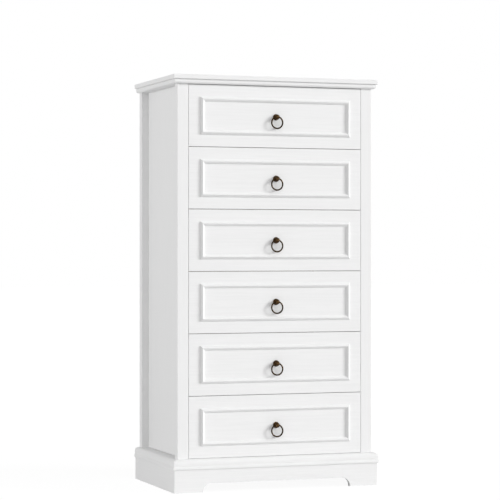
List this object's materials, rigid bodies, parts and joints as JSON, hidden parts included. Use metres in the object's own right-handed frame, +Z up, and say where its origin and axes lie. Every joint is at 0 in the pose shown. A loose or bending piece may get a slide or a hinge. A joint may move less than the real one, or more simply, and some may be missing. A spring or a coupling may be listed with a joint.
{
  "type": "tall chest of drawers",
  "caption": "Tall narrow chest of inset drawers with framed fronts and ring pulls, set-back side panels between posts, a moulded top and a plinth with a cut-out.",
  "frame": {"origin": "on the floor, midway across the width and the depth of the whole chest", "axes": "+Z up, drawer fronts facing -Y, +X to the right seen from the front"},
  "size_m": [0.6364, 0.4016, 1.2],
  "materials": {
    "white_lacquer": "satin white lacquer over fine grain",
    "plain_wood": "clear sealed pale wood",
    "runner_wood": "waxed hardwood",
    "hardboard": "bare pressed fibre board",
    "antique_bronze": "aged dark bronze with rubbed edges",
    "zinc_steel": "bright zinc plate"
  },
  "bodies": {
    "cabinet": {"top_board": "white_lacquer", "top_moulding_front": "white_lacquer", "top_moulding_left": "white_lacquer", "top_moulding_right": "white_lacquer", "base_moulding_front": "white_lacquer", "base_moulding_left": "white_lacquer", "base_moulding_right": "white_lacquer", "plinth_front": "white_lacquer", "plinth_left": "white_lacquer", "plinth_right": "white_lacquer", "front_left_post": "white_lacquer", "rear_left_post": "white_lacquer", "left_side_panel": "white_lacquer", "left_top_rail": "white_lacquer", "left_bottom_rail": "white_lacquer", "left_runners": "runner_wood", "front_right_post": "white_lacquer", "rear_right_post": "white_lacquer", "right_side_panel": "white_lacquer", "right_top_rail": "white_lacquer", "right_bottom_rail": "white_lacquer", "right_runners": "runner_wood", "front_top_rail": "white_lacquer", "rear_top_rail": "plain_wood", "rear_bottom_rail": "plain_wood", "bottom_panel": "white_lacquer", "back_panel": "hardboard", "back_panel_nails": "zinc_steel", "runner_screws": "zinc_steel"},
    "drawer_1": {"drawer_1_front": "white_lacquer", "drawer_1_front_moulding": "white_lacquer", "drawer_1_box": "plain_wood", "drawer_1_pull": "antique_bronze"},
    "ring_1": {"drawer_1_ring": "antique_bronze"},
    "drawer_2": {"drawer_2_front": "white_lacquer", "drawer_2_front_moulding": "white_lacquer", "drawer_2_box": "plain_wood", "drawer_2_pull": "antique_bronze"},
    "ring_2": {"drawer_2_ring": "antique_bronze"},
    "drawer_3": {"drawer_3_front": "white_lacquer", "drawer_3_front_moulding": "white_lacquer", "drawer_3_box": "plain_wood", "drawer_3_pull": "antique_bronze"},
    "ring_3": {"drawer_3_ring": "antique_bronze"},
    "drawer_4": {"drawer_4_front": "white_lacquer", "drawer_4_front_moulding": "white_lacquer", "drawer_4_box": "plain_wood", "drawer_4_pull": "antique_bronze"},
    "ring_4": {"drawer_4_ring": "antique_bronze"},
    "drawer_5": {"drawer_5_front": "white_lacquer", "drawer_5_front_moulding": "white_lacquer", "drawer_5_box": "plain_wood", "drawer_5_pull": "antique_bronze"},
    "ring_5": {"drawer_5_ring": "antique_bronze"},
    "drawer_6": {"drawer_6_front": "white_lacquer", "drawer_6_front_moulding": "white_lacquer", "drawer_6_box": "plain_wood", "drawer_6_pull": "antique_bronze"},
    "ring_6": {"drawer_6_ring": "antique_bronze"}
  },
  "joints": [
    {"name": "drawer_1_slide", "type": "slide", "parent": "cabinet", "child": "drawer_1", "axis": [0, -1, 0], "range_m": [0, 0.24]},
    {"name": "ring_1_swing", "type": "hinge", "parent": "drawer_1", "child": "ring_1", "pos_m": [0, -0.19335, 1.08358], "axis": [-1, 0, 0], "range_deg": [-10, 190]},
    {"name": "drawer_2_slide", "type": "slide", "parent": "cabinet", "child": "drawer_2", "axis": [0, -1, 0], "range_m": [0, 0.24]},
    {"name": "ring_2_swing", "type": "hinge", "parent": "drawer_2", "child": "ring_2", "pos_m": [0, -0.19335, 0.90415], "axis": [-1, 0, 0], "range_deg": [-10, 190]},
    {"name": "drawer_3_slide", "type": "slide", "parent": "cabinet", "child": "drawer_3", "axis": [0, -1, 0], "range_m": [0, 0.24]},
    {"name": "ring_3_swing", "type": "hinge", "parent": "drawer_3", "child": "ring_3", "pos_m": [0, -0.19335, 0.72472], "axis": [-1, 0, 0], "range_deg": [-10, 190]},
    {"name": "drawer_4_slide", "type": "slide", "parent": "cabinet", "child": "drawer_4", "axis": [0, -1, 0], "range_m": [0, 0.24]},
    {"name": "ring_4_swing", "type": "hinge", "parent": "drawer_4", "child": "ring_4", "pos_m": [0, -0.19335, 0.54528], "axis": [-1, 0, 0], "range_deg": [-10, 190]},
    {"name": "drawer_5_slide", "type": "slide", "parent": "cabinet", "child": "drawer_5", "axis": [0, -1, 0], "range_m": [0, 0.24]},
    {"name": "ring_5_swing", "type": "hinge", "parent": "drawer_5", "child": "ring_5", "pos_m": [0, -0.19335, 0.36585], "axis": [-1, 0, 0], "range_deg": [-10, 190]},
    {"name": "drawer_6_slide", "type": "slide", "parent": "cabinet", "child": "drawer_6", "axis": [0, -1, 0], "range_m": [0, 0.24]},
    {"name": "ring_6_swing", "type": "hinge", "parent": "drawer_6", "child": "ring_6", "pos_m": [0, -0.19335, 0.18642], "axis": [-1, 0, 0], "range_deg": [-10, 190]}
  ]
}
